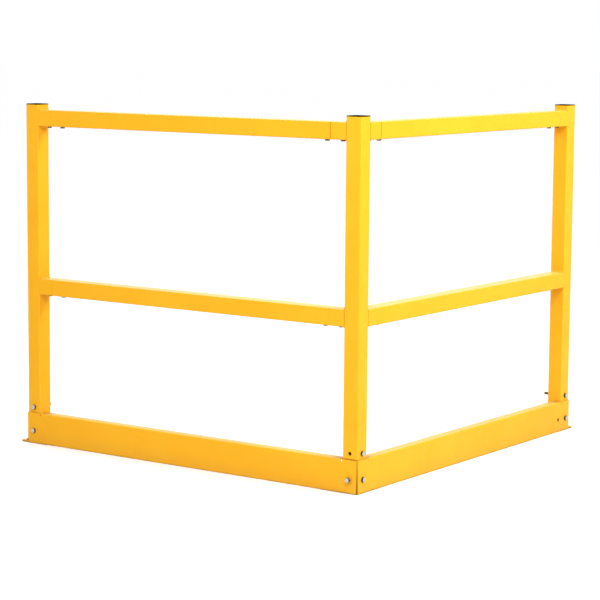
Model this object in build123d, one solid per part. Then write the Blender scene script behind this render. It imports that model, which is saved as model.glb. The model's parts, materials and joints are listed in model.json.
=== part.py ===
from build123d import *
import os

# L-shaped corner handrail with kickplates, millimetres, +Z up.
# The origin is on the corner post's axis at floor level.
# The right panel runs along +X and the left panel along +Y.
# The outside of the corner, where the kickplates are, faces -Y and -X.
# The left panel is the mirror image of the right one about the plane x = y.

# Spans and heights
left_span = 1219.2  # corner post axis to left post axis
right_span = 1219.2  # corner post axis to right post axis
top_rail_height = 1066.8  # floor to the top of the top rails
mid_rail_height = 533.4  # floor to the top of the mid rails
post_rise = 16.0  # post tube above the top rails

# Post tube
post_size = 50.8
post_wall = 3.0
post_corner = 4.0  # outside corner radius

# Rail tube, used for the rails and for the stubs on the posts
rail_width = 50.8
rail_height = 50.8
rail_wall = 3.0
rail_corner = 4.0

# Bolted rail joint: stub, seam, rail, and a sleeve inside both
stub_length = 52.0  # post face to the stub's open end
seam_gap = 3.0  # between stub and rail
joint_bolt_offset = 27.0  # each bolt's distance from the middle of the seam
stub_weld_leg = 4.0
sleeve_length = 102.0
sleeve_wall = 3.0
sleeve_corner = 2.0  # bevel
sleeve_side_play = 0.6  # on each side
sleeve_top_play = 1.2  # the bolts pull the sleeve down onto the bottom wall

# Base plates
base_thickness = 6.35
base_depth = 127.0  # from the outer face of the post inwards
base_overhang = 28.6  # past the sides of an end post, along its panel
base_weld_leg = 7.0
anchor_hole = 14.3
anchor_front_inset = 19.0  # hole centre from the plate's outer edge
anchor_back_inset = 19.0  # hole centre from the plate's inner edge
anchor_side_inset = 12.7  # hole centre from an end plate's sides

# Kickplates
kick_height = 100.0  # floor to the top
kick_floor_gap = 1.5
kick_thickness = 3.0
kick_flange = 31.75  # width of the top flange, outside of the sheet to its free edge
kick_bend = 3.0  # inside bend radius
kick_end_corner = 4.0  # rounding of the web's upper end corners
flange_post_gap = 5.0  # flange end to post face, the width of the relief slot
relief_depth = 8.0  # slot beside the flange, measured from the top
kick_bolt_height = 42.0
spare_hole_step = 48.0  # unused hole in the right kickplate, inwards from its end bolt

# Post bolts above the kickplates
post_bolt_height = 118.0

# Large bolts, nuts and their holes
large_bolt = 9.5
large_hole = 11.1
large_across_flats = 14.3
large_head = 6.0
large_nut = 8.3
long_bolt_length = 76.2
short_bolt_length = 19.0
proud_bolt_lift = 6.0  # the left kickplate bolt at the corner is not driven home

# Small bolts, nuts and their holes
small_bolt = 7.9
small_hole = 8.7
small_across_flats = 12.7
small_head = 5.2
small_nut = 6.9
small_bolt_length = 19.0

nut_bore_play = 0.05  # on each side of the bolt

# Fasteners repeat, so shanks, bores and the holes that stay out of sight get flat sides
flat_sides = 12

# Post caps
cap_thickness = 3.0
cap_edge = 1.0  # bevel
plug_depth = 14.0
plug_wall = 2.0
plug_play = 0.8  # plug wall to post wall
fin_play = 0.15  # fin tip to post wall
fin_corner = 1.2  # bevel
fin_thickness = 1.2
fin_count = 3

overcut = 1.0  # how far a cutting tool runs past the face it cuts
octagon_bevel = 2 - 2**0.5  # bevel that lies against a rounded corner, as a share of its radius

# Places worked out from the sizes above
post_half = post_size / 2
post_inside = post_size - 2 * post_wall
post_top = top_rail_height + post_rise
seam_middle = post_half + stub_length + seam_gap / 2
rail_start = post_half + stub_length + seam_gap
kick_face = post_half + kick_thickness
rail_tops = {"top": top_rail_height, "mid": mid_rail_height}


def tube_section(width, height, wall, corner):
    """A rectangular ring with rounded outside corners."""
    return RectangleRounded(width, height, corner) - Rectangle(width - 2 * wall, height - 2 * wall)


def hexagon(across_flats, height):
    """A hexagonal block on the XY plane."""
    return extrude(RegularPolygon(across_flats / 2, 6, major_radius=False), height)


def hex_bolt(diameter, across_flats, head, length):
    """A hex bolt: the head stands on the XY plane and the shank hangs below it."""
    shank = extrude(RegularPolygon(diameter / 2, flat_sides), -length)
    return hexagon(across_flats, head) + shank


def large_bolt_of(length):
    return hex_bolt(large_bolt, large_across_flats, large_head, length)


def small_bolt_of(length):
    return hex_bolt(small_bolt, small_across_flats, small_head, length)


def hex_nut(diameter, across_flats, height):
    """A nut standing on the XY plane."""
    return hexagon(across_flats, height) - hidden_hole(diameter + 2 * nut_bore_play, height)


def round_hole(diameter, wall):
    """A round cutter along Z that passes a wall on either side of the XY plane."""
    return Cylinder(diameter / 2, 2 * (wall + overcut))


def hidden_hole(diameter, wall):
    """The same cutter with flat sides, for a hole that stays out of sight."""
    outline = RegularPolygon(diameter / 2, flat_sides, major_radius=False)
    return extrude(outline, wall + overcut, both=True)


def facing_out(x, y, z):
    """A place on the right panel whose Z axis points out through the kickplate side."""
    return Plane(origin=(x, y, z), x_dir=(1, 0, 0), z_dir=(0, -1, 0))


def facing_in(x, y, z):
    return Plane(origin=(x, y, z), x_dir=(1, 0, 0), z_dir=(0, 1, 0))


def facing_down(x, z):
    return Plane(origin=(x, 0, z), x_dir=(1, 0, 0), z_dir=(0, 0, -1))


def to_left(shape):
    """Turns a right-hand piece into the left-hand one, about the plane x = y."""
    return mirror(shape, about=Plane(origin=(0, 0, 0), z_dir=(1, -1, 0)))


def post():
    """A post on the origin, with the hole for a kickplate bolt in its outer (-Y) wall."""
    section = tube_section(post_size, post_size, post_wall, post_corner)
    body = Pos(0, 0, base_thickness) * extrude(section, post_top - base_thickness)
    return body - facing_out(0, -post_half, kick_bolt_height) * hidden_hole(large_hole, post_wall)


def bevelled_square(size, corner):
    """A square whose bevels lie against rounded corners of that radius."""
    return chamfer(Rectangle(size, size).vertices(), corner * octagon_bevel)


def foot_weld():
    """The fillet weld round a post's foot, on the sides that carry no kickplate in front."""
    toe = post_size + 2 * base_weld_leg
    bead = extrude(bevelled_square(toe, post_corner + base_weld_leg), base_weld_leg, taper=45)
    bead -= extrude(bevelled_square(post_size, post_corner), base_weld_leg)
    outer_side = Pos(0, -post_half - toe / 2, 0) * Box(toe + 2 * overcut, toe, 2 * (base_weld_leg + overcut))
    return Pos(0, 0, base_thickness) * (bead - outer_side)


def plate_with_holes(x_low, x_high, hole_places):
    """A base plate whose outer edge is flush with the post's outer face."""
    width = x_high - x_low
    outline = Rectangle(width, base_depth)
    plate = Pos((x_low + x_high) / 2, base_depth / 2 - post_half, 0) * extrude(outline, base_thickness)
    for x, y in hole_places:
        plate -= Pos(x, y, 0) * round_hole(anchor_hole, base_thickness)
    return plate


anchor_front = anchor_front_inset - post_half
anchor_back = base_depth - post_half - anchor_back_inset


def end_base_plate():
    """The plate under an end post, with four anchor holes."""
    side = post_half + base_overhang
    hole_x = side - anchor_side_inset
    places = [(x, y) for x in (-hole_x, hole_x) for y in (anchor_front, anchor_back)]
    return plate_with_holes(-side, side, places) + foot_weld()


def corner_base_plate():
    """The square plate under the corner post, with three anchor holes."""
    places = [(anchor_back, anchor_front), (anchor_back, anchor_back), (anchor_front, anchor_back)]
    plate = plate_with_holes(-post_half, base_depth - post_half, places)
    return plate + (foot_weld() & to_left(foot_weld()))


def post_cap():
    """A black push-in cap on the origin, its underside at Z = 0, with a hollow finned plug."""
    head = extrude(RectangleRounded(post_size, post_size, post_corner), cap_thickness)
    head = chamfer(head.edges().group_by(Axis.Z)[-1], cap_edge)
    plug_size = post_inside - 2 * plug_play
    hollow_size = plug_size - 2 * plug_wall
    fin_size = post_inside - 2 * fin_play
    fin = chamfer(Rectangle(fin_size, fin_size).vertices(), fin_corner)
    plug = extrude(Rectangle(plug_size, plug_size), -plug_depth)
    for step in range(fin_count):
        depth = plug_depth * (step + 1) / (fin_count + 1)
        plug += Pos(0, 0, -depth) * extrude(fin, fin_thickness)
    plug -= extrude(Rectangle(hollow_size, hollow_size), -plug_depth)
    return head + plug


def rail_section():
    return tube_section(rail_width, rail_height, rail_wall, rail_corner)


def along_x(section, length):
    """Extrudes a section along +X, standing on its centre line."""
    return extrude(Plane.YZ * section, length)


def stub(rail_top):
    """The short tube on a post at the origin, reaching along +X, with its two fillet welds."""
    body = along_x(rail_section(), stub_length)
    weld_width = rail_width - 2 * rail_corner
    outline = Polyline((0, 0), (stub_weld_leg, 0), (0, stub_weld_leg), close=True)
    bead = extrude(Plane.XZ * make_face(outline), weld_width / 2, both=True)
    body += Pos(0, 0, rail_height / 2) * bead
    body += Pos(0, 0, -rail_height / 2) * mirror(bead, about=Plane.XY)
    body = Pos(post_half, 0, rail_top - rail_height / 2) * body
    return body - joint_hole(seam_middle - joint_bolt_offset, rail_top - rail_height)


def joint_hole(x, bottom):
    """The cutter for one bolt hole in the bottom wall of a rail, stub or sleeve."""
    return Pos(x, 0, bottom) * hidden_hole(small_hole, rail_wall)


def sleeve(rail_top):
    """The inner tube of a joint, resting on the bottom walls of stub and rail."""
    width = rail_width - 2 * rail_wall - 2 * sleeve_side_play
    height = rail_height - 2 * rail_wall - sleeve_top_play
    bottom = rail_top - rail_height + rail_wall
    section = chamfer(Rectangle(width, height).vertices(), sleeve_corner)
    section -= Rectangle(width - 2 * sleeve_wall, height - 2 * sleeve_wall)
    start = seam_middle - sleeve_length / 2
    body = Pos(start, 0, bottom + height / 2) * along_x(section, sleeve_length)
    for x in joint_bolt_places():
        body -= joint_hole(x, bottom)
    return body


def joint_bolt_places():
    """The two bolts of a joint, by distance from the axis of the post that carries it."""
    return [seam_middle - joint_bolt_offset, seam_middle + joint_bolt_offset]


def rail(span, rail_top):
    """One rail between two seams."""
    bottom = rail_top - rail_height
    body = Pos(rail_start, 0, rail_top - rail_height / 2) * along_x(rail_section(), span - 2 * rail_start)
    for x in (seam_middle + joint_bolt_offset, span - seam_middle - joint_bolt_offset):
        body -= joint_hole(x, bottom)
    return body


def rail_bolt_places(span):
    near = joint_bolt_places()
    return near + [span - x for x in near]


def rail_bolts(span, rail_top):
    """The four bolts of a rail, heads down."""
    bottom = rail_top - rail_height
    return [facing_down(x, bottom) * small_bolt_of(small_bolt_length) for x in rail_bolt_places(span)]


def rail_nuts(span, rail_top):
    """The four nuts of a rail, welded on the sleeves' bottom walls."""
    seat = rail_top - rail_height + rail_wall + sleeve_wall
    nut = hex_nut(small_bolt, small_across_flats, small_nut)
    return [Pos(x, 0, seat) * nut for x in rail_bolt_places(span)]


def kickplate(span, spare_holes):
    """A folded sheet: a web flat on the posts, and a top flange that stops short of them."""
    length = span + post_size
    bend_outside = kick_bend + kick_thickness
    slot_floor = kick_height - relief_depth
    slot_edge = post_half + flange_post_gap

    def web_end():
        """The web past the flange: a tab at full height with one rounded corner."""
        width = post_size
        tab = Box(width, kick_thickness, kick_height - kick_floor_gap, align=Align.MIN)
        corner = tab.edges().filter_by(Axis.Y).group_by(Axis.Z)[-1].sort_by(Axis.X)[0]
        return fillet(corner, kick_end_corner)

    web = Box(length, kick_thickness, slot_floor - kick_floor_gap, align=Align.MIN)
    web = Pos(-post_half, -kick_face, kick_floor_gap) * web
    near_end = Pos(-post_half, -kick_face, kick_floor_gap) * web_end()
    far_end = mirror(near_end, about=Plane.YZ.offset(span / 2))

    # The fold's section, seen along the panel: up the web, round the bend, in along the flange.
    face = -kick_face
    back = -post_half
    free = face + kick_flange
    top = kick_height
    under = top - kick_thickness
    outline = Polyline((back, slot_floor), (face, slot_floor), (face, top - bend_outside))
    outline += RadiusArc((face, top - bend_outside), (face + bend_outside, top), bend_outside)
    outline += Polyline((face + bend_outside, top), (free, top), (free, under), (back + kick_bend, under))
    outline += RadiusArc((back + kick_bend, under), (back, top - bend_outside), -kick_bend)
    outline += Line((back, top - bend_outside), (back, slot_floor))
    fold = along_x(make_face(outline), span - 2 * slot_edge)
    fold = Pos(slot_edge, 0, 0) * fold

    body = web + near_end + far_end + fold
    for x in (0, span, *spare_holes):
        body -= facing_out(x, -post_half, kick_bolt_height) * round_hole(large_hole, kick_thickness)
    return body


def kickplate_bolt(x, lift):
    """A short bolt through kickplate and post, standing off by its lift."""
    return facing_out(x, -kick_face - lift, kick_bolt_height) * large_bolt_of(short_bolt_length)


def outer_wall_nut(x, height):
    """A nut welded inside a post on its outer wall."""
    nut = hex_nut(large_bolt, large_across_flats, large_nut)
    return facing_in(x, -post_half + post_wall, height) * nut


def back_nut(x, height):
    """The loose nut on a through bolt, tight against the post's inner face."""
    nut = hex_nut(large_bolt, large_across_flats, large_nut)
    return facing_in(x, post_half, height) * nut


def end_post(span):
    """A through bolt crosses both walls of the post at the end of a panel."""
    return Pos(span, 0, 0) * (post() - facing_out(0, 0, post_bolt_height) * hidden_hole(large_hole, post_half))


def corner_post():
    """Both outer walls take a kickplate; each has an upper hole too."""
    one_side = post() - facing_out(0, -post_half, post_bolt_height) * round_hole(large_hole, post_wall)
    return one_side & to_left(one_side)


def mirrored_stub(span, rail_top):
    """The stub on the end post, reaching back towards the corner."""
    return mirror(stub(rail_top), about=Plane.YZ.offset(span / 2))


def mirrored_sleeve(span, rail_top):
    return mirror(sleeve(rail_top), about=Plane.YZ.offset(span / 2))


def panel(side, span, place, spare_holes, corner_bolt_lift):
    """All pieces of one panel and its end post, by node name."""
    pieces = {}
    for level, rail_top in rail_tops.items():
        pieces[f"corner_{side}_{level}_stub"] = stub(rail_top)
        pieces[f"{side}_post_{level}_stub"] = mirrored_stub(span, rail_top)
        pieces[f"corner_{side}_{level}_sleeve"] = sleeve(rail_top)
        pieces[f"{side}_post_{level}_sleeve"] = mirrored_sleeve(span, rail_top)
        pieces[f"{side}_{level}_rail"] = rail(span, rail_top)
        pieces[f"{side}_{level}_rail_bolts"] = rail_bolts(span, rail_top)
        pieces[f"{side}_{level}_rail_nuts"] = rail_nuts(span, rail_top)
    pieces[f"{side}_post"] = end_post(span)
    pieces[f"{side}_base_plate"] = Pos(span, 0, 0) * end_base_plate()
    pieces[f"{side}_post_cap"] = Pos(span, 0, post_top) * post_cap()
    pieces[f"{side}_kickplate"] = kickplate(span, spare_holes)
    pieces[f"{side}_kickplate_bolts"] = [kickplate_bolt(0, corner_bolt_lift), kickplate_bolt(span, 0)]
    pieces[f"{side}_kickplate_nuts"] = [outer_wall_nut(x, kick_bolt_height) for x in (0, span)]
    pieces[f"{side}_post_bolt"] = facing_out(span, -post_half, post_bolt_height) * large_bolt_of(long_bolt_length)
    pieces[f"{side}_post_nut"] = back_nut(span, post_bolt_height)
    return {name: place(shape) for name, shape in pieces.items()}


def placed(move):
    """A placing function that also takes a list of separate solids."""

    def place(shape):
        if isinstance(shape, list):
            return Compound(children=[move(one) for one in shape])
        return move(shape)

    return place


def corner_pieces():
    """The corner post and what belongs to it alone."""
    return {
        "corner_post": corner_post(),
        "corner_base_plate": corner_base_plate(),
        "corner_post_cap": Pos(0, 0, post_top) * post_cap(),
        "corner_post_bolt": facing_out(0, -post_half, post_bolt_height) * large_bolt_of(short_bolt_length),
        "corner_post_nut": outer_wall_nut(0, post_bolt_height),
    }


right = panel("right", right_span, placed(lambda shape: shape), [right_span - spare_hole_step], 0)
left = panel("left", left_span, placed(to_left), [], proud_bolt_lift)
pieces = {**corner_pieces(), **right, **left}

os.makedirs("parts", exist_ok=True)
for name, shape in pieces.items():
    export_step(shape, f"parts/{name}.step")
print(len(pieces), "nodes")
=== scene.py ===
import json
import math

import bmesh
import bpy
from mathutils import Matrix, Vector


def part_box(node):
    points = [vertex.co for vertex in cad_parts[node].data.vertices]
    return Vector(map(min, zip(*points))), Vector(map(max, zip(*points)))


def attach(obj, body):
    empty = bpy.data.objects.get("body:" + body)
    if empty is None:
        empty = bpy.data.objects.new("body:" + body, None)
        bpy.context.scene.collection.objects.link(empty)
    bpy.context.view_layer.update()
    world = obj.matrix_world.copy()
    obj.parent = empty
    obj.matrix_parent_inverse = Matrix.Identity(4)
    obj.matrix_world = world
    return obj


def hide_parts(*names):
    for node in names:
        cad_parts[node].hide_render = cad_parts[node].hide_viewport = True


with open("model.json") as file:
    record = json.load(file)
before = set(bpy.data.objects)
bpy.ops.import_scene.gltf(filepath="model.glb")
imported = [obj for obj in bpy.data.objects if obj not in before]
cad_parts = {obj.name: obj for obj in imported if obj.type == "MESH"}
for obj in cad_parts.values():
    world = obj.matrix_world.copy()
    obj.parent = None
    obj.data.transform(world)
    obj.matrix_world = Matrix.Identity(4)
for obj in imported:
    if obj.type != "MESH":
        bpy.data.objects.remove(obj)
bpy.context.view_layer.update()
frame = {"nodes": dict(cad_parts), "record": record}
nodes = frame["nodes"]
MM = 0.001

# Sizes shared with the part
SPAN = 1219.2 * MM  # from post axis to post axis
POST_HALF = 25.4 * MM
TUBE_CORNER = 4.0 * MM  # outer rounding of posts, stubs and rails
TUBE_WALL = 3.0 * MM
KICK_TOP = 100.0 * MM
PLATE_TOP = 6.35 * MM
HOLE_INSET = 48 * MM  # from the right post's axis to the unused hole in its kickplate
HOLE_HEIGHT = 42 * MM
PANELS = {"left": 1, "right": 0}  # the axis that each panel runs along
FOOT_WELD_LEG = 7.0 * MM
STUB_WELD_LEG = 4.0 * MM
CAP_THICKNESS = 3.0 * MM

# Hex hardware, as in the part: large on posts and kickplates, small under the rails
LARGE = {"flats": 14.3 * MM, "head": 6.0 * MM, "shank": 9.5 * MM, "root": 7.9 * MM, "pitch": 1.59 * MM}
SMALL = {"flats": 12.7 * MM, "head": 5.2 * MM, "shank": 7.9 * MM, "root": 6.5 * MM, "pitch": 1.41 * MM}
SHORT_BOLT = 19.0 * MM
SHORT_BOLT_PLAIN = 0.5 * MM  # unthreaded part under the head
LONG_BOLT = 76.2 * MM
LONG_BOLT_PLAIN = 34.0 * MM
NUT_HEIGHT = 8.3 * MM

# Finer shape of the hardware
HEX_SIDES = 6
STEPS_ON_A_FLAT = 6
HEX_STEPS = HEX_SIDES * STEPS_ON_A_FLAT
THREAD_STEPS = 24  # round the shank
THREAD_ROWS = 6  # in one pitch
THREAD_SLOPE = 2.4  # steepness of the wave between root and crest
THREAD_FLAT = 0.1  # cut off the wave's foot, which leaves flat crests
HEX_CHAMFER = math.tan(math.radians(30))  # fall of a head's or nut's chamfer
CROWN = 0.46  # radius inside the chamfer, in widths across flats
WASHER_FACE = 0.48  # radius of the face under a head, in widths across flats
WASHER_HEIGHT = 0.3 * MM
DISH = 0.1 * MM  # depth of the hollow on a head's top
DISH_MIDDLE = 0.15  # radius of its floor, in widths across flats
DISH_EDGE = 0.8  # radius of its halfway ring, in crowns
SHANK_CHAMFER = 0.8 * MM
BORE_CHAMFER = 0.6 * MM
BORE_PLAY = 0.02 * MM
SIDE_SHADE = 1.0  # painted shade on the sides of a head, as the zinc material reads it
THREAD_SHADE = 0.6  # painted shade on threads and nuts

# Finer shape of the caps
CAP_RIM = 0.15 * MM  # how far the rim lies under the middle of the top
CAP_MIDDLE = (0.1, 0.03, 0.02 * MM)  # ring on the top: width and corner in cap widths, and depth
CAP_SHOULDER = (0.7, 0.12 * MM)  # next ring: width in cap widths, and depth
CAP_CORNER_FALL = 0.6  # how much the corners tighten as the edge rounds over
CAP_ROUNDING = 1.1 * MM
CAP_ROUNDING_STEPS = 5
CAP_LOWER_EDGE = 0.35 * MM
PLUG_INSET = 7.6 * MM  # plug narrower than the cap
FIN_INSET = 6.3 * MM  # fins narrower than the cap
FINS = 3
FIN_HEIGHT = 1.2 * MM
FIN_TAPER = 0.1 * MM
PLUG_CORNER = 1.2 * MM
PLUG_WALL = 2.0 * MM
PLUG_CEILING = 0.8 * MM  # how far the plug's hollow runs up into the cap

# Weld beads, with lengths in fillet legs unless they say otherwise
BEAD_STEPS = 8  # across the bead
BEAD_HEIGHT = 0.16
BEAD_LIFT = 0.05  # over the part's own fillet
BEAD_BACK = 0.1  # from the corner to the bead's hidden edge
BEAD_WANDER = ((0.03, 0.9, 0.0), (0.02, 2.3, 1.0))  # waves in the bead's width: size, rate and start
RIPPLE_DEPTH = 0.25  # how far a ripple swings about the bead's height, as a share of it
RIPPLE_BOW = 0.45  # how far a ripple bows along the joint, in pitches
RIPPLE_STEPS = 6  # stations in a pitch
FOOT_WELD_PITCH = 2.2 * MM
STUB_WELD_PITCH = 1.8 * MM

# Rail ends
HAIRLINE = 0.3 * MM  # left open in a tight seam
TOUCH = 0.05 * MM  # between pieces that meet

# Colours, as linear red, green and blue
YELLOW = (0.95, 0.452, 0.017)
YELLOW_CLOUD = (0.96, 0.482, 0.022)
YELLOW_SPECK = (0.88, 0.42, 0.02)
OVERSPRAY = (0.93, 0.44, 0.012)
GRIME = (0.62, 0.36, 0.07)
# Pale dust, which also serves as a painted sheen on upward faces
DUST_AND_SHEEN = (0.93, 0.57, 0.13)
# Painted shade in joints and near the floor, also used for a dark patch at a weld end
PAINTED_SHADE = (0.2, 0.085, 0.004)
ZINC_DIM = (0.42, 0.385, 0.33)
ZINC_BRIGHT = (0.52, 0.49, 0.43)
ZINC_GRAIN = (0.28, 0.24, 0.18)
# Painted shade on bolt heads' sides, heads under the rails, threads and nuts
ZINC_SHADE = (0.065, 0.047, 0.03)
SPANGLE_DIM = (0.36, 0.36, 0.36)
SPANGLE_BRIGHT = (0.5, 0.5, 0.5)
CAP_BLACK = (0.009, 0.005, 0.003)
CAP_CLOUD = (0.016, 0.01, 0.006)
FLOOR_GREY = (0.78, 0.78, 0.78)
WHITE = (1.0, 1.0, 1.0)

# Camera, from the edges of the photograph
CAMERA_PLACE = (-4.9591, -3.3192, 1.3353)
CAMERA_HEADING = math.radians(35.343)  # from +X towards +Y
CAMERA_DIP = math.radians(7.412)  # below the horizon
CAMERA_ROLL = math.radians(0.467)
CAMERA_LENS = 126.48
CAMERA_REACH = 300.0
SENSOR_WIDTH = 36.0

# Light: name, place, side and power of each square lamp
LAMP_TARGET = (0.35, 0.35, 0.7)
LAMPS = (
    ("right box", (0.99, -2.04, 2.2), 0.9, 64),
    ("near box", (-1.58, -1.04, 2.2), 0.9, 37),
    ("left box", (-3.5, 1.4, 2.9), 0.9, 54),
    ("back box", (1.9, 1.9, 2.8), 1.6, 52),
)
AMBIENT = 0.38  # even light on the part
BACKDROP = 1.01  # strength of the white seen behind the part
FLOOR_HALF = 60.0
FLOOR_LEVEL = -0.2 * MM
FLOOR_GLOW = (0.38, 0.7)  # near the part and far from it
FLOOR_GLOW_REACH = (1.2, 3.5)  # where the one ends and the other begins


# Helpers for meshes


def added(name, data):
    """A new object in the scene."""
    thing = bpy.data.objects.new(name, data)
    bpy.context.scene.collection.objects.link(thing)
    return thing


def new_piece(name, vertices, faces, material, replaced=()):
    """A mesh piece that rides on the part, in the place its vertices give."""
    mesh = bpy.data.meshes.new(name)
    mesh.from_pydata([tuple(vertex) for vertex in vertices], [], faces)
    mesh.validate()
    mesh.update()
    piece = added(name, mesh)
    mesh.materials.append(material)
    mesh.shade_smooth()
    if replaced:
        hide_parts(*replaced)
    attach(piece, "root")
    return piece


def ring_faces(first, second, count):
    """Quads between two closed rings of vertices, given by their first index."""
    quads = []
    for step in range(count):
        after = (step + 1) % count
        quads.append((first + step, first + after, second + after, second + step))
    return quads


def join_rings(rings, closed=False):
    """Vertices and faces of a skin over a stack of rings of one count, closed from last to first if asked."""
    count = len(rings[0])
    vertices = [vertex for ring in rings for vertex in ring]
    faces = []
    for level in range(len(rings) - 1):
        faces += ring_faces(level * count, (level + 1) * count, count)
    if closed:
        faces += ring_faces((len(rings) - 1) * count, 0, count)
    return vertices, faces


def round_ring(radius, height, count):
    """A ring of points round the Z axis."""
    ring = []
    for step in range(count):
        angle = 2 * math.pi * step / count
        ring.append(Vector((radius * math.cos(angle), radius * math.sin(angle), height)))
    return ring


def rounded_square(width, corner, height, centre):
    """A closed ring of points round a square with rounded corners."""
    steps = 8
    half = width / 2 - corner
    ring = []
    for quarter, (side_x, side_y) in enumerate(((1, 1), (-1, 1), (-1, -1), (1, -1))):
        for step in range(steps + 1):
            angle = math.pi / 2 * (quarter + step / steps)
            x = centre.x + side_x * half + corner * math.cos(angle)
            y = centre.y + side_y * half + corner * math.sin(angle)
            ring.append(Vector((x, y, height)))
    return ring


def soften(piece, angle=40):
    """Keeps edges sharper than the angle crisp under smooth shading."""
    piece.data.set_sharp_from_angle(angle=math.radians(angle))


def make_outward(piece):
    """Turns a closed skin's faces outwards."""
    skin = bmesh.new()
    skin.from_mesh(piece.data)
    bmesh.ops.recalc_face_normals(skin, faces=skin.faces)
    skin.to_mesh(piece.data)
    skin.free()
    piece.data.shade_smooth()


def vectors(box):
    """A box's low and high corner as vectors."""
    low, high = box
    return Vector(low), Vector(high)


# Bolts and nuts


def hex_radius(angle, across_flats):
    """Distance from the axis to a hexagon's side, corners on the X axis."""
    part = 2 * math.pi / HEX_SIDES
    from_middle = (angle % part) - part / 2
    return across_flats / 2 / math.cos(from_middle)


def corner_radius(size):
    """Distance from a fastener's axis to a corner of its hexagon."""
    return size["flats"] / 2 / math.cos(math.pi / HEX_SIDES)


def hex_ring(across_flats, height_of):
    """One ring round a hexagon, at heights worked out from each radius."""
    ring = []
    for step in range(HEX_STEPS):
        angle = 2 * math.pi * step / HEX_STEPS
        radius = hex_radius(angle, across_flats)
        ring.append(Vector((radius * math.cos(angle), radius * math.sin(angle), height_of(radius))))
    return ring


def thread_radius(size, height, angle):
    """The thread's surface: a wave between root and crest that climbs round the shank."""
    phase = (height / size["pitch"] - angle / (2 * math.pi)) % 1.0
    wave = min(1.0, max(0.0, THREAD_SLOPE * abs(phase - 0.5) - THREAD_FLAT))
    return (size["root"] + (size["shank"] - size["root"]) * (1 - wave)) / 2


def head_rings(size):
    """Rings down a hex head, from its dished top to the shank."""
    flats = size["flats"]
    head = size["head"]
    crown = CROWN * flats
    return [
        round_ring(DISH_MIDDLE * flats, head - DISH, HEX_STEPS),
        round_ring(DISH_EDGE * crown, head - DISH / 2, HEX_STEPS),
        round_ring(crown, head, HEX_STEPS),
        hex_ring(flats, lambda radius: head - max(0.0, radius - crown) * HEX_CHAMFER),
        hex_ring(flats, lambda radius: WASHER_HEIGHT + max(0.0, radius - flats / 2) * HEX_CHAMFER),
        round_ring(WASHER_FACE * flats, WASHER_HEIGHT, HEX_STEPS),
        round_ring(WASHER_FACE * flats, 0.0, HEX_STEPS),
        round_ring(size["shank"] / 2, 0.0, HEX_STEPS),
    ]


def shank_rings(size, length, plain):
    """Rings down a shank: plain at first, then threaded, with a chamfered end."""
    step_down = size["pitch"] / THREAD_ROWS
    heights = [0.0, -plain]
    while heights[-1] - step_down > -length:
        heights.append(heights[-1] - step_down)
    heights.append(-length)
    rings = []
    for height in heights:
        chamfered = size["root"] / 2 - SHANK_CHAMFER / 2 + (length + height)
        ring = []
        for step in range(THREAD_STEPS):
            angle = 2 * math.pi * step / THREAD_STEPS
            radius = size["shank"] / 2
            if height < -plain:
                radius = thread_radius(size, height, angle)
            radius = min(radius, chamfered)
            ring.append(Vector((radius * math.cos(angle), radius * math.sin(angle), height)))
        rings.append(ring)
    return rings


def bolt_shape(size, length, plain, top_shade=0.0):
    """A hex bolt, its head over Z = 0 and its shank below, as vertices, faces and each vertex's share of
    painted shade.
    """
    vertices, faces = join_rings(head_rings(size))
    faces.append(tuple(reversed(range(HEX_STEPS))))
    shank_start = len(vertices)
    shank_vertices, shank_faces = join_rings(shank_rings(size, length, plain))
    vertices += shank_vertices
    faces += [tuple(shank_start + index for index in face) for face in shank_faces]
    faces.append(tuple(range(len(vertices) - THREAD_STEPS, len(vertices))))

    # The head's underside meets the shank in a ring of triangles and quads.
    under_head = shank_start - HEX_STEPS
    for step in range(HEX_STEPS):
        after = (step + 1) % HEX_STEPS
        near = shank_start + step * THREAD_STEPS // HEX_STEPS
        far = shank_start + (step + 1) * THREAD_STEPS // HEX_STEPS % THREAD_STEPS
        corners = [under_head + step, under_head + after, far, near]
        if far == near:
            corners = [under_head + step, under_head + after, near]
        faces.append(tuple(corners))

    top = 3 * HEX_STEPS  # the three rings of the head's top
    # Painted shade: the head's top only as asked, its sides and underside fully, the shank in part.
    shade_share = [top_shade] * top
    shade_share += [SIDE_SHADE] * (shank_start - top)
    shade_share += [THREAD_SHADE] * (len(vertices) - shank_start)
    return vertices, faces, shade_share


def nut_shape(size, height):
    """A hex nut on Z = 0, both ends chamfered, its bore countersunk, as bolt_shape gives a bolt."""
    flats = size["flats"]
    crown = CROWN * flats
    bore = size["shank"] / 2 + BORE_PLAY
    mouth = bore + BORE_CHAMFER
    rings = [
        round_ring(bore, BORE_CHAMFER, HEX_STEPS),
        round_ring(mouth, 0.0, HEX_STEPS),
        round_ring(crown, 0.0, HEX_STEPS),
        hex_ring(flats, lambda radius: max(0.0, radius - crown) * HEX_CHAMFER),
        hex_ring(flats, lambda radius: height - max(0.0, radius - crown) * HEX_CHAMFER),
        round_ring(crown, height, HEX_STEPS),
        round_ring(mouth, height, HEX_STEPS),
        round_ring(bore, height - BORE_CHAMFER, HEX_STEPS),
    ]
    vertices, faces = join_rings(rings, closed=True)
    return vertices, [tuple(reversed(face)) for face in faces], [THREAD_SHADE] * len(vertices)


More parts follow.
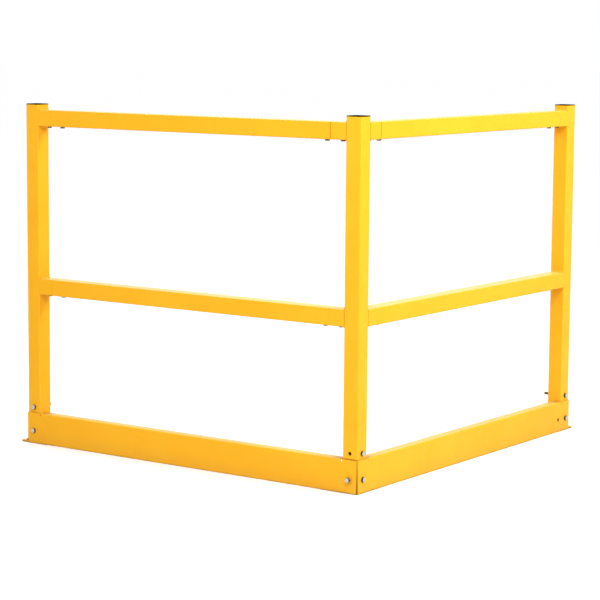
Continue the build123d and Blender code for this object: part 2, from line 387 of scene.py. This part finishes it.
def fastener_tree(material):
    """Geometry Nodes that put one fastener on each place, each turned by its own small angle."""
    tree = bpy.data.node_groups.new("fasteners on places", "GeometryNodeTree")
    sockets = (
        ("Fastener", "INPUT", "NodeSocketGeometry"),
        ("Places", "INPUT", "NodeSocketObject"),
        ("Axis", "INPUT", "NodeSocketVector"),
        ("Largest turn", "INPUT", "NodeSocketFloat"),
        ("Seed", "INPUT", "NodeSocketInt"),
        ("Fasteners", "OUTPUT", "NodeSocketGeometry"),
    )
    for name, way, kind in sockets:
        tree.interface.new_socket(name, in_out=way, socket_type=kind)
    make = tree.nodes.new
    link = tree.links.new
    given = make("NodeGroupInput").outputs
    places = make("GeometryNodeObjectInfo")
    places.transform_space = "ORIGINAL"
    points = make("GeometryNodeMeshToPoints")
    instances = make("GeometryNodeInstanceOnPoints")
    link(given["Places"], places.inputs["Object"])
    link(places.outputs["Geometry"], points.inputs["Mesh"])
    link(points.outputs["Points"], instances.inputs["Points"])
    link(given["Fastener"], instances.inputs["Instance"])

    turn = make("FunctionNodeRandomValue")
    turn.data_type = "FLOAT"
    sources = {
        "Min": worked(tree, "MULTIPLY", given["Largest turn"], -1.0),
        "Max": given["Largest turn"],
        "Seed": given["Seed"],
    }
    for socket in turn.inputs:
        if socket.enabled and socket.name in sources:
            link(sources[socket.name], socket)
    turn_value = [socket for socket in turn.outputs if socket.enabled][0]
    rotation = make("ShaderNodeVectorMath")
    rotation.operation = "SCALE"
    link(given["Axis"], rotation.inputs[0])
    link(turn_value, rotation.inputs["Scale"])
    link(rotation.outputs["Vector"], instances.inputs["Rotation"])

    real = make("GeometryNodeRealizeInstances")
    dressed = make("GeometryNodeSetMaterial")
    dressed.inputs["Material"].default_value = material
    link(instances.outputs["Instances"], real.inputs["Geometry"])
    link(real.outputs["Geometry"], dressed.inputs["Geometry"])
    link(dressed.outputs["Geometry"], make("NodeGroupOutput").inputs["Fasteners"])
    return tree


def turned_to(axis):
    """The turn that takes the Z axis to the given axis."""
    across = Vector((0, 0, 1)).cross(axis)
    upright = across.length < 0.5
    if upright:
        across = Vector((1, 0, 0))
    return Matrix((across, axis.cross(across), axis)).transposed()


def place_fasteners(name, shape, places, direction, turn, seed, replaced):
    """Fasteners at the places, heads towards the direction, as one plain mesh piece."""
    vertices, faces, shade_share = shape
    axis = Vector(direction)
    basis = turned_to(axis)
    mesh = bpy.data.meshes.new(name + "_one")
    mesh.from_pydata([tuple(basis @ vertex) for vertex in vertices], [], faces)
    mesh.update()
    # Each vertex's share of painted shade, which the zinc material reads.
    mesh.attributes.new("head_shade", "FLOAT", "POINT").data.foreach_set("value", shade_share)
    one = added(name + "_one", mesh)
    spots = bpy.data.meshes.new(name + "_places")
    spots.from_pydata([tuple(place) for place in places], [], [])
    spot_object = added(name + "_places", spots)
    modifier = one.modifiers.new("places", "NODES")
    modifier.node_group = FASTENERS
    values = {"Places": spot_object, "Axis": tuple(axis), "Largest turn": turn, "Seed": seed}
    for item in FASTENERS.interface.items_tree:
        if item.item_type == "SOCKET" and item.in_out == "INPUT" and item.name in values:
            modifier[item.identifier] = values[item.name]
    one.update_tag()
    bpy.context.view_layer.update()
    depsgraph = bpy.context.evaluated_depsgraph_get()
    result = bpy.data.meshes.new_from_object(one.evaluated_get(depsgraph))
    for helper in (one, spot_object):
        bpy.data.objects.remove(helper)
    piece = added(name, result)
    result.shade_smooth()
    soften(piece, angle=25)
    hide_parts(*replaced)
    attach(piece, "root")


# Helpers for materials


def node_material(name):
    """A material with its node tree, its shader and its places in the part's own frame."""
    material = bpy.data.materials.new(name)
    material.use_nodes = True
    tree = material.node_tree
    shader = tree.nodes["Principled BSDF"]
    place = tree.nodes.new("ShaderNodeTexCoord").outputs["Object"]
    return material, tree, shader, place


def noise(tree, place, scale, detail=2.0):
    """A noise texture of a scale per metre."""
    texture = tree.nodes.new("ShaderNodeTexNoise")
    texture.inputs["Scale"].default_value = scale
    texture.inputs["Detail"].default_value = detail
    texture.inputs["Roughness"].default_value = 0.5
    tree.links.new(place, texture.inputs["Vector"])
    return texture.outputs["Fac"]


def ranged(tree, value, low, high, from_low=0.3, from_high=0.7):
    """Maps a value into a range."""
    node = tree.nodes.new("ShaderNodeMapRange")
    node.inputs["From Min"].default_value = from_low
    node.inputs["From Max"].default_value = from_high
    node.inputs["To Min"].default_value = low
    node.inputs["To Max"].default_value = high
    tree.links.new(value, node.inputs["Value"])
    return node.outputs["Result"]


def above(tree, value, start, end):
    """Rises from nothing at the start to one at the end."""
    return ranged(tree, value, 0.0, 1.0, start, end)


def below(tree, value, start, end):
    """Falls from one at the start to nothing at the end."""
    return ranged(tree, value, 1.0, 0.0, start, end)


def worked(tree, operation, first, *others):
    """One kind of arithmetic over two or more values, each of them a number or a socket."""
    result = first
    for other in others:
        node = tree.nodes.new("ShaderNodeMath")
        node.operation = operation
        for socket, value in zip(node.inputs, (result, other)):
            if isinstance(value, float):
                socket.default_value = value
            else:
                tree.links.new(value, socket)
        result = node.outputs["Value"]
    return result


def mixed_colour(tree, factor, first, second):
    """Mixes two colours, either of them a colour or a socket."""
    node = tree.nodes.new("ShaderNodeMix")
    node.data_type = "RGBA"
    for socket, colour in ((node.inputs[6], first), (node.inputs[7], second)):
        if isinstance(colour, tuple):
            socket.default_value = (*colour, 1.0)
        else:
            tree.links.new(colour, socket)
    tree.links.new(factor, node.inputs[0])
    return node.outputs[2]


def bumped(tree, shader, layers):
    """Stacks bump layers, each (height socket, strength, distance)."""
    normal = None
    for height, strength, distance in layers:
        bump = tree.nodes.new("ShaderNodeBump")
        bump.inputs["Strength"].default_value = strength
        bump.inputs["Distance"].default_value = distance
        tree.links.new(height, bump.inputs["Height"])
        if normal:
            tree.links.new(normal, bump.inputs["Normal"])
        normal = bump.outputs["Normal"]
    tree.links.new(normal, shader.inputs["Normal"])


def from_point(tree, place, point, kept=(1.0, 1.0, 1.0)):
    """Distance from a point, counting only the kept directions."""
    flat = tree.nodes.new("ShaderNodeVectorMath")
    flat.operation = "MULTIPLY"
    flat.inputs[1].default_value = kept
    tree.links.new(place, flat.inputs[0])
    apart = tree.nodes.new("ShaderNodeVectorMath")
    apart.operation = "DISTANCE"
    apart.inputs[1].default_value = [value * keep for value, keep in zip(point, kept)]
    tree.links.new(flat.outputs["Vector"], apart.inputs[0])
    return apart.outputs["Value"]


def from_upright(tree, place, x, y):
    """Distance from an upright line."""
    return from_point(tree, place, (x, y, 0.0), (1.0, 1.0, 0.0))


def seen_directly(tree):
    """One for rays from the camera, off gloss or through glass, and nothing for the rest."""
    path = tree.nodes.new("ShaderNodeLightPath").outputs
    return worked(
        tree, "MAXIMUM", path["Is Camera Ray"], path["Is Glossy Ray"], path["Is Transmission Ray"]
    )


# Painted shade as masks over the part, and one dark patch at a weld end


def notch_shade(tree, place, height):
    """Painted shade in the open notch between the two kickplates, thicker towards the floor."""
    middle = -POST_HALF - 0.5 * MM
    near = below(tree, from_upright(tree, place, middle, middle), 2.5 * MM, 3.8 * MM)
    thickness = ranged(tree, height, 0.8, 0.3, 0.0, 80 * MM)
    under = below(tree, height, KICK_TOP - 1 * MM, KICK_TOP + 2 * MM)
    return worked(tree, "MULTIPLY", near, thickness, under)


def ledge_shade(tree, place, height, inward):
    """Painted shade on the posts just above the kickplates' top edge, most on the corner post's left-hand
    face.
    """
    over = above(tree, height, KICK_TOP - 0.6 * MM, KICK_TOP - 0.3 * MM)
    under = below(tree, height, KICK_TOP + 1.8 * MM, KICK_TOP + 4.3 * MM)
    outside = below(tree, inward, 2 * MM, 6 * MM)
    face = from_upright(tree, place, -POST_HALF, 0.0)
    strength = ranged(tree, face, 0.75, 0.2, 22 * MM, 28 * MM)
    uneven = ranged(tree, noise(tree, place, 40.0, 3.0), 0.5, 1.0)
    return worked(tree, "MULTIPLY", over, under, outside, strength, uneven)


def floor_contact_shade(tree, place, height):
    """A thin painted contact shadow along the floor."""
    uneven = ranged(tree, noise(tree, place, 25.0, 4.0), 0.3, 0.7)
    return worked(tree, "MULTIPLY", below(tree, height, 1.5 * MM, 6.5 * MM), uneven)


def flange_shadow(tree, place, height, upward):
    """Painted shadow of the posts on the kickplates' flanges near them."""
    posts = ((0.0, 0.0), (0.0, SPAN), (SPAN, 0.0))
    apart = worked(tree, "MINIMUM", *(from_upright(tree, place, x, y) for x, y in posts))
    near = ranged(tree, apart, 0.6, 0.0, 45 * MM, 90 * MM)
    over = above(tree, height, KICK_TOP - 10 * MM, KICK_TOP - 5 * MM)
    under = below(tree, height, KICK_TOP + 5 * MM, KICK_TOP + 10 * MM)
    return worked(tree, "MULTIPLY", near, upward, over, under)


def hole_shade(tree, place):
    """Painted shade in the right kickplate's unused hole and on the post's side behind it."""
    hole = from_point(tree, place, (SPAN - HOLE_INSET, 0.0, HOLE_HEIGHT), (1.0, 0.0, 1.0))
    rim = ranged(tree, hole, 0.8, 0.0, 5.9 * MM, 7.4 * MM)
    side = from_point(tree, place, (SPAN - POST_HALF, -12 * MM, HOLE_HEIGHT - 2 * MM))
    return worked(tree, "MAXIMUM", rim, ranged(tree, side, 0.8, 0.0, 9 * MM, 14 * MM))


def dark_weld_end(tree, place, height):
    """Darkens the end of the left post's foot weld, beside the left kickplate."""
    end = from_upright(tree, place, -26 * MM, SPAN + 31 * MM)
    near = ranged(tree, end, 0.95, 0.0, 7 * MM, 9 * MM)
    over = above(tree, height, PLATE_TOP - 0.35 * MM, PLATE_TOP + 0.25 * MM)
    under = below(tree, height, 14 * MM, 16 * MM)
    return worked(tree, "MULTIPLY", near, over, under)


# Materials


def powder_coat():
    """Glossy yellow powder coat: orange peel, faint clouds, grime low down, pale dust with a painted sheen on
    top, and painted shade in joints, near the posts' feet and along the floor.
    """
    material, tree, shader, place = node_material("yellow powder coat")
    spot = tree.nodes.new("ShaderNodeSeparateXYZ")
    tree.links.new(place, spot.inputs["Vector"])
    height = spot.outputs["Z"]
    inward = worked(tree, "MINIMUM", spot.outputs["X"], spot.outputs["Y"])
    facing = tree.nodes.new("ShaderNodeSeparateXYZ")
    tree.links.new(tree.nodes.new("ShaderNodeTexCoord").outputs["Normal"], facing.inputs["Vector"])
    upward = above(tree, facing.outputs["Z"], 0.75, 0.97)

    cloud = ranged(tree, noise(tree, place, 7.0, 3.0), 0.0, 1.0)
    fine = ranged(tree, noise(tree, place, 900.0, 1.0), 0.0, 1.0)
    specks = ranged(tree, fine, 0.0, 0.25, 0.7, 1.0)
    low = ranged(tree, height, 0.35, 0.0, 0.0, 50 * MM)
    grime = worked(tree, "MULTIPLY", low, noise(tree, place, 60.0, 5.0))
    # Pale dust on upward faces, also standing in for a painted sheen on the tops.
    dust_and_sheen = worked(tree, "MULTIPLY", upward, ranged(tree, noise(tree, place, 30.0, 4.0), 0.6, 1.0))
    # Painted shade in the notch, on the ledge, on the flanges near the posts, along the floor and at the
    # hole, and a dark patch at the weld end.
    painted_shade = worked(
        tree,
        "MAXIMUM",
        notch_shade(tree, place, height),
        ledge_shade(tree, place, height, inward),
        flange_shadow(tree, place, height, upward),
        floor_contact_shade(tree, place, height),
        hole_shade(tree, place),
        dark_weld_end(tree, place, height),
    )
    base = mixed_colour(tree, cloud, YELLOW, YELLOW_CLOUD)
    base = mixed_colour(tree, specks, base, YELLOW_SPECK)
    base = mixed_colour(tree, grime, base, GRIME)
    base = mixed_colour(tree, dust_and_sheen, base, DUST_AND_SHEEN)
    base = mixed_colour(tree, painted_shade, base, PAINTED_SHADE)
    tree.links.new(base, shader.inputs["Base Color"])

    roughness = ranged(tree, noise(tree, place, 25.0, 4.0), 0.2, 0.3)
    tree.links.new(roughness, shader.inputs["Roughness"])
    shader.inputs["Specular IOR Level"].default_value = 0.055
    peel = noise(tree, place, 420.0)
    waves = noise(tree, place, 45.0)
    bumped(tree, shader, [(waves, 0.12, 0.8 * MM), (peel, 0.16, 0.2 * MM)])
    return material


def zinc():
    """Zinc-plated steel: satin and blotchy, with painted shade where a piece's own per-vertex value asks for
    it.
    """
    material, tree, shader, place = node_material("zinc plate")
    film = ranged(tree, noise(tree, place, 180.0, 4.0), 0.0, 1.0)
    grain = noise(tree, place, 1500.0)
    head_shade = tree.nodes.new("ShaderNodeAttribute")
    head_shade.attribute_name = "head_shade"
    base = mixed_colour(tree, film, ZINC_DIM, ZINC_BRIGHT)
    base = mixed_colour(tree, ranged(tree, grain, 0.0, 0.35, 0.55, 0.75), base, ZINC_GRAIN)
    # Painted shade on head sides, heads under the rails, threads and nuts.
    base = mixed_colour(tree, head_shade.outputs["Fac"], base, ZINC_SHADE)
    tree.links.new(base, shader.inputs["Base Color"])
    shader.inputs["Metallic"].default_value = 1.0
    tree.links.new(ranged(tree, film, 0.26, 0.4, 0.0, 1.0), shader.inputs["Roughness"])
    bumped(tree, shader, [(grain, 0.15, 0.1 * MM)])
    return material


def sleeve_steel():
    """Galvanised tube inside the joints: large dull spangles under a mist of yellow overspray."""
    material, tree, shader, place = node_material("galvanised tube")
    cells = tree.nodes.new("ShaderNodeTexVoronoi")
    cells.inputs["Scale"].default_value = 160.0
    tree.links.new(place, cells.inputs["Vector"])
    spangle = tree.nodes.new("ShaderNodeSeparateColor")
    tree.links.new(cells.outputs["Color"], spangle.inputs["Color"])
    mist = ranged(tree, noise(tree, place, 220.0, 3.0), 0.85, 1.0)
    base = mixed_colour(tree, spangle.outputs["Red"], SPANGLE_DIM, SPANGLE_BRIGHT)
    base = mixed_colour(tree, mist, base, OVERSPRAY)
    tree.links.new(base, shader.inputs["Base Color"])
    tree.links.new(worked(tree, "SUBTRACT", 1.0, mist), shader.inputs["Metallic"])
    roughness = ranged(tree, spangle.outputs["Green"], 0.45, 0.65, 0.0, 1.0)
    tree.links.new(roughness, shader.inputs["Roughness"])
    shader.inputs["Specular IOR Level"].default_value = 0.1
    return material


def cap_plastic():
    """Black moulded plastic with a fine spark-eroded grain."""
    material, tree, shader, place = node_material("black cap plastic")
    grain = noise(tree, place, 1400.0, 3.0)
    cloud = ranged(tree, noise(tree, place, 60.0, 3.0), 0.0, 1.0)
    tree.links.new(mixed_colour(tree, cloud, CAP_BLACK, CAP_CLOUD), shader.inputs["Base Color"])
    tree.links.new(ranged(tree, cloud, 0.6, 0.72, 0.0, 1.0), shader.inputs["Roughness"])
    shader.inputs["Specular IOR Level"].default_value = 0.0
    bumped(tree, shader, [(grain, 0.25, 0.1 * MM)])
    return material


POWDER = powder_coat()
ZINC = zinc()
GALVANISED = sleeve_steel()
PLASTIC = cap_plastic()
FASTENERS = fastener_tree(ZINC)


def finish_nodes():
    """Gives every CAD node its material."""
    by_slot = {
        "yellow_powder_coat": POWDER,
        "zinc_hardware": ZINC,
        "sleeve_steel": GALVANISED,
        "cap_plastic": PLASTIC,
    }
    for entry in frame["record"]["subparts"]:
        node = nodes[entry["node"]]
        if not node.material_slots:
            node.data.materials.append(None)
        for material_slot in node.material_slots:
            material_slot.material = by_slot[entry["material_slot"]]


# Caps


def cap_head_rings(width, top, seat, centre):
    """Rings down a cap's slightly crowned top, round its edge and in to the seat on the post."""
    middle, middle_corner, middle_drop = CAP_MIDDLE
    shoulder, shoulder_drop = CAP_SHOULDER
    rings = [
        rounded_square(width * middle, width * middle_corner, top - middle_drop, centre),
        rounded_square(width * shoulder, TUBE_CORNER, top - shoulder_drop, centre),
    ]
    for step in range(CAP_ROUNDING_STEPS + 1):
        angle = math.pi / 2 * step / CAP_ROUNDING_STEPS
        inset = CAP_ROUNDING * (1 - math.sin(angle))
        drop = CAP_ROUNDING * (1 - math.cos(angle))
        corner = TUBE_CORNER - inset * CAP_CORNER_FALL
        rings.append(rounded_square(width - 2 * inset, corner, top - CAP_RIM - drop, centre))
    rings.append(rounded_square(width, TUBE_CORNER, seat + CAP_LOWER_EDGE, centre))
    rings.append(rounded_square(width - 2 * CAP_LOWER_EDGE, TUBE_CORNER, seat, centre))
    return rings


def plug_rings(width, seat, bottom, centre):
    """Rings down a cap's finned plug and back up its hollow."""
    plug = width - PLUG_INSET
    fin = width - FIN_INSET
    hollow = plug - 2 * PLUG_WALL
    outline = [(plug, seat)]
    for count in range(FINS):
        low = seat - (seat - bottom) * (count + 1) / (FINS + 1)
        high = low + FIN_HEIGHT
        outline += [(plug, high), (fin, high), (fin, low), (plug, low - FIN_TAPER)]
    outline += [(plug, bottom), (hollow, bottom), (hollow, seat + PLUG_CEILING)]
    return [rounded_square(wide, PLUG_CORNER, height, centre) for wide, height in outline]


def post_cap(post):
    """A post's cap: a softly rounded, very slightly crowned head over a hollow finned plug."""
    low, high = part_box(f"{post}_cap")
    centre = (Vector(low) + Vector(high)) / 2
    width = high[0] - low[0]
    seat = high[2] - CAP_THICKNESS
    rings = cap_head_rings(width, high[2], seat, centre) + plug_rings(width, seat, low[2], centre)
    vertices, faces = join_rings(rings)
    faces = [tuple(reversed(face)) for face in faces]
    count = len(rings[0])
    faces.append(tuple(range(count)))
    faces.append(tuple(reversed(range(len(vertices) - count, len(vertices)))))
    piece = new_piece(f"{post}_cap_moulding", vertices, faces, PLASTIC, [f"{post}_cap"])
    soften(piece, angle=35)


# Weld beads


def bead_ring(station, leg, pitch):
    """The bead's outline at one station of its path."""
    corner, out, up, run = station
    wander = sum(size * math.sin(run / pitch * rate + start) for size, rate, start in BEAD_WANDER)
    reach = leg * (1.0 + wander)
    outward = (out + up).normalized()
    ring = []
    for step in range(BEAD_STEPS + 1):
        share = step / BEAD_STEPS
        arch = math.sin(math.pi * share)
        ripple = math.cos(2 * math.pi * (run / pitch + RIPPLE_BOW * arch))
        skin = BEAD_HEIGHT * leg * arch * (1 + RIPPLE_DEPTH * ripple) + BEAD_LIFT * leg
        point = corner + out * (reach * (1 - share)) + up * (reach * share)
        ring.append(point + outward * skin)
    ring.append(corner + (out + up) * (BEAD_BACK * leg))
    return ring


def weld_bead(name, stations, leg, pitch):
    """A rippled fillet bead over the part's plain one.

    Each station is (corner point, direction along the plate, direction up the tube, distance run).
    """
    rings = [bead_ring(station, leg, pitch) for station in stations]
    vertices, faces = join_rings(rings)
    count = len(rings[0])
    faces.append(tuple(reversed(range(count))))
    faces.append(tuple(range(len(vertices) - count, len(vertices))))
    piece = new_piece(name, vertices, faces, POWDER)
    make_outward(piece)


def path_round_post(post, open_sides):
    """Stations round a post's foot, leaving out the sides that stand behind a kickplate."""
    low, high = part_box(post)
    half = (high[0] - low[0]) / 2
    centre = Vector(((low[0] + high[0]) / 2, (low[1] + high[1]) / 2, low[2]))
    outward = {"+x": (1, 0, 0), "+y": (0, 1, 0), "-x": (-1, 0, 0), "-y": (0, -1, 0)}
    up = Vector((0, 0, 1))
    arc_steps = 16
    stations = []
    run = 0.0
    for side in open_sides:
        out = Vector(outward[side])
        along = up.cross(out)
        last = side == open_sides[-1]
        begin = -half if side == open_sides[0] else -half + TUBE_CORNER
        end = half if last else half - TUBE_CORNER
        steps = int((end - begin) / (FOOT_WELD_PITCH / RIPPLE_STEPS))
        for step in range(steps + 1):
            offset = begin + (end - begin) * step / steps
            stations.append((centre + out * half + along * offset, out, up, run))
            run += (end - begin) / steps
        if last:
            continue
        turn = centre + (out + along) * (half - TUBE_CORNER)
        for step in range(1, arc_steps):
            angle = math.pi / 2 * step / arc_steps
            normal = out * math.cos(angle) + along * math.sin(angle)
            run += math.pi / 2 * (TUBE_CORNER + FOOT_WELD_LEG / 2) / arc_steps
            stations.append((turn + normal * TUBE_CORNER, normal, up, run))
    return stations


def straight_path(start, finish, out, up, pitch):
    """Stations along a straight joint."""
    length = (finish - start).length
    steps = int(length / (pitch / RIPPLE_STEPS))
    stations = []
    for step in range(steps + 1):
        share = step / steps
        stations.append((start.lerp(finish, share), out, up, length * share))
    return stations


def stub_welds(stub, post, axis):
    """The beads over and under a stub that runs along the axis, where it meets its post."""
    low, high = vectors(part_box(stub))
    post_low, post_high = vectors(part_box(post))
    middle = (low + high) / 2
    post_middle = (post_low + post_high) / 2
    away = 1.0 if middle[axis] > post_middle[axis] else -1.0
    out = Vector((0, 0, 0))
    out[axis] = away
    across = Vector((0, 0, 0))
    across[1 - axis] = 1.0
    face = post_high[axis] if away > 0 else post_low[axis]
    reach = across * ((high[1 - axis] - low[1 - axis]) / 2 - TUBE_CORNER)
    for label, height, up in (
        ("top", high.z - STUB_WELD_LEG, Vector((0, 0, 1))),
        ("under", low.z + STUB_WELD_LEG, Vector((0, 0, -1))),
    ):
        corner = Vector((middle.x, middle.y, height))
        corner[axis] = face
        stations = straight_path(corner - reach, corner + reach, out, up, STUB_WELD_PITCH)
        weld_bead(f"{stub}_{label}_weld", stations, STUB_WELD_LEG, STUB_WELD_PITCH)


# Rail ends


def rail_lip(side, level, end):
    """Lengthens a rail's end across a seam that is only a hairline in the photograph."""
    axis = PANELS[side]
    rail_low, rail_high = vectors(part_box(f"{side}_{level}_rail"))
    if end == "near":
        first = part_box(f"corner_{side}_{level}_stub")[1][axis] + HAIRLINE
        last = rail_low[axis] - TOUCH
    else:
        first = rail_high[axis] + TOUCH
        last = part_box(f"{side}_post_{level}_stub")[0][axis] - HAIRLINE
    outer = rail_high.z - rail_low.z - 2 * TOUCH
    inner = outer - 2 * TUBE_WALL
    centre = Vector((0.0, (rail_low.z + rail_high.z) / 2, 0.0))
    rings = []
    for width, corner, run in (
        (outer, TUBE_CORNER, first),
        (outer, TUBE_CORNER, last),
        (inner, TUBE_CORNER - TUBE_WALL, last),
        (inner, TUBE_CORNER - TUBE_WALL, first),
    ):
        ring = []
        for point in rounded_square(width, corner, run, centre):
            spot = Vector((0.0, 0.0, point.y))
            spot[axis] = point.z
            spot[1 - axis] = point.x
            ring.append(spot)
        rings.append(ring)
    vertices, faces = join_rings(rings, closed=True)
    piece = new_piece(f"{side}_{level}_rail_{end}_lip", vertices, faces, POWDER)
    make_outward(piece)
    soften(piece)


# Hardware on the part


def dress_rail(side, level, seed):
    """The four bolts under one rail, found from its box and its stubs' boxes."""
    axis = PANELS[side]
    bolts = f"{side}_{level}_rail_bolts"
    low, high = vectors(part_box(bolts))
    rail_low, rail_high = vectors(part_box(f"{side}_{level}_rail"))
    near_stub = Vector(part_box(f"corner_{side}_{level}_stub")[1])
    far_stub = Vector(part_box(f"{side}_post_{level}_stub")[0])
    near_seam = (near_stub[axis] + rail_low[axis]) / 2
    far_seam = (far_stub[axis] + rail_high[axis]) / 2
    first = low[axis] + corner_radius(SMALL)
    last = high[axis] - corner_radius(SMALL)
    places = []
    for run in (first, 2 * near_seam - first, 2 * far_seam - last, last):
        place = Vector(((low.x + high.x) / 2, (low.y + high.y) / 2, rail_low.z))
        place[axis] = run
        places.append(place)
    # Heads under the rails get painted shade on their tops as well as their sides.
    shape = bolt_shape(SMALL, SHORT_BOLT, SHORT_BOLT_PLAIN, top_shade=SIDE_SHADE)
    place_fasteners(
        f"{side}_{level}_rail_hex_bolts", shape, places, (0, 0, -1), turn=0.5, seed=seed, replaced=[bolts]
    )


def dress_panel(side, seed):
    """The bolts and nuts of one panel."""
    axis = PANELS[side]
    out = Vector((0, 0, 0))
    out[1 - axis] = -1.0
    low, high = vectors(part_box(f"{side}_kickplate_bolts"))
    plate_low = Vector(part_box(f"{side}_kickplate")[0])
    seat = plate_low[1 - axis]
    lift = seat - LARGE["head"] - low[1 - axis]
    first = low[axis] + corner_radius(LARGE)
    last = high[axis] - corner_radius(LARGE)
    places = []
    for run, raised in ((first, lift), (last, 0.0)):
        place = Vector((0, 0, (low.z + high.z) / 2))
        place[axis] = run
        place[1 - axis] = seat - raised
        places.append(place)
    short = bolt_shape(LARGE, SHORT_BOLT, SHORT_BOLT_PLAIN)
    bolts = f"{side}_kickplate_bolts"
    place_fasteners(
        f"{side}_kickplate_hex_bolts", short, places, out, turn=0.35, seed=seed, replaced=[bolts]
    )

    bolt_low, bolt_high = vectors(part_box(f"{side}_post_bolt"))
    place = (bolt_low + bolt_high) / 2
    place[1 - axis] = bolt_low[1 - axis] + LARGE["head"]
    long = bolt_shape(LARGE, LONG_BOLT, LONG_BOLT_PLAIN)
    bolt = f"{side}_post_bolt"
    place_fasteners(
        f"{side}_post_hex_bolt", long, [place], out, turn=0.2, seed=seed + 1, replaced=[bolt]
    )

    nut_low, nut_high = vectors(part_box(f"{side}_post_nut"))
    place = (nut_low + nut_high) / 2
    place[1 - axis] = nut_low[1 - axis]
    shape = nut_shape(LARGE, NUT_HEIGHT)
    nut = f"{side}_post_nut"
    place_fasteners(
        f"{side}_post_hex_nut", shape, [place], -out, turn=0.3, seed=seed + 2, replaced=[nut]
    )
    for level in ("top", "mid"):
        dress_rail(side, level, seed=seed + 3)


def dress_corner():
    """The corner post's short bolt, in its right-hand outer face."""
    low, high = vectors(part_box("corner_post_bolt"))
    place = (low + high) / 2
    place.y = low.y + LARGE["head"]
    short = bolt_shape(LARGE, SHORT_BOLT, SHORT_BOLT_PLAIN)
    bolt = "corner_post_bolt"
    place_fasteners(
        "corner_post_hex_bolt", short, [place], (0, -1, 0), turn=0.2, seed=11, replaced=[bolt]
    )


# Building the dressed part

finish_nodes()
for post in ("left_post", "corner_post", "right_post"):
    post_cap(post)
dress_panel("right", seed=3)
dress_panel("left", seed=17)
dress_corner()
for side, axis in PANELS.items():
    for level in ("top", "mid"):
        stub_welds(f"corner_{side}_{level}_stub", "corner_post", axis)
        stub_welds(f"{side}_post_{level}_stub", f"{side}_post", axis)
# Only the two top seams at the corner post stand open in the photograph.
for side in PANELS:
    for level, end in (("top", "far"), ("mid", "near"), ("mid", "far")):
        rail_lip(side, level, end)
foot_sides = {
    "left_post": ("-y", "+x", "+y"),
    "corner_post": ("+x", "+y"),
    "right_post": ("+x", "+y", "-x"),
}
for post, sides in foot_sides.items():
    weld_bead(f"{post}_foot_weld", path_round_post(post, sides), FOOT_WELD_LEG, FOOT_WELD_PITCH)


# Floor, light and camera


def pale_floor():
    """A wide pale floor that keeps the part's shadow, and glows a little for what looks straight at it."""
    mesh = bpy.data.meshes.new("floor")
    corners = []
    for x, y in ((-1, -1), (1, -1), (1, 1), (-1, 1)):
        corners.append((x * FLOOR_HALF, y * FLOOR_HALF, FLOOR_LEVEL))
    mesh.from_pydata(corners, [], [(0, 1, 2, 3)])
    floor = added("floor", mesh)
    material = bpy.data.materials.new("pale floor")
    material.use_nodes = True
    tree = material.node_tree
    tree.nodes.clear()
    surface = tree.nodes.new("ShaderNodeBsdfDiffuse")
    surface.inputs["Color"].default_value = (*FLOOR_GREY, 1.0)
    glow = tree.nodes.new("ShaderNodeEmission")
    place = tree.nodes.new("ShaderNodeTexCoord").outputs["Object"]
    away = from_upright(tree, place, SPAN / 2, SPAN / 2)
    strength = ranged(tree, away, *FLOOR_GLOW, *FLOOR_GLOW_REACH)
    tree.links.new(worked(tree, "MULTIPLY", seen_directly(tree), strength), glow.inputs["Strength"])
    both = tree.nodes.new("ShaderNodeAddShader")
    output = tree.nodes.new("ShaderNodeOutputMaterial")
    tree.links.new(surface.outputs["BSDF"], both.inputs[0])
    tree.links.new(glow.outputs["Emission"], both.inputs[1])
    tree.links.new(both.outputs["Shader"], output.inputs["Surface"])
    mesh.materials.append(material)


def white_world():
    """White behind the part, and a plain even light on it."""
    world = bpy.data.worlds.new("studio")
    bpy.context.scene.world = world
    world.use_nodes = True
    tree = world.node_tree
    background = tree.nodes["Background"]
    background.inputs["Color"].default_value = (*WHITE, 1.0)
    backdrop = worked(tree, "MULTIPLY", seen_directly(tree), BACKDROP - AMBIENT)
    tree.links.new(worked(tree, "ADD", backdrop, AMBIENT), background.inputs["Strength"])


def softbox(name, place, side, power):
    """A square area lamp aimed at the part."""
    lamp = bpy.data.lights.new(name, "AREA")
    lamp.shape = "SQUARE"
    lamp.size = side
    lamp.energy = power
    holder = added(name, lamp)
    holder.visible_camera = False
    holder.location = place
    direction = Vector(LAMP_TARGET) - Vector(place)
    holder.rotation_euler = direction.to_track_quat("-Z", "Y").to_euler()


def photo_camera():
    """The photograph's camera, from its place, heading, dip and roll."""
    level_part = math.cos(CAMERA_DIP)
    ahead = Vector((
        level_part * math.cos(CAMERA_HEADING),
        level_part * math.sin(CAMERA_HEADING),
        -math.sin(CAMERA_DIP),
    ))
    level = ahead.cross(Vector((0, 0, 1))).normalized()
    upright = level.cross(ahead)
    right = level * math.cos(CAMERA_ROLL) + upright * math.sin(CAMERA_ROLL)
    up = upright * math.cos(CAMERA_ROLL) - level * math.sin(CAMERA_ROLL)
    data = bpy.data.cameras.new("camera")
    data.sensor_fit = "HORIZONTAL"
    data.sensor_width = SENSOR_WIDTH
    data.lens = CAMERA_LENS
    data.clip_end = CAMERA_REACH
    camera = added("camera", data)
    turned = Matrix((right, up, -ahead)).transposed().to_4x4()
    camera.matrix_world = Matrix.Translation(CAMERA_PLACE) @ turned
    bpy.context.scene.camera = camera


pale_floor()
white_world()
for name, place, side, power in LAMPS:
    softbox(name, place, side, power)
photo_camera()
bpy.context.scene.view_settings.view_transform = "Standard"
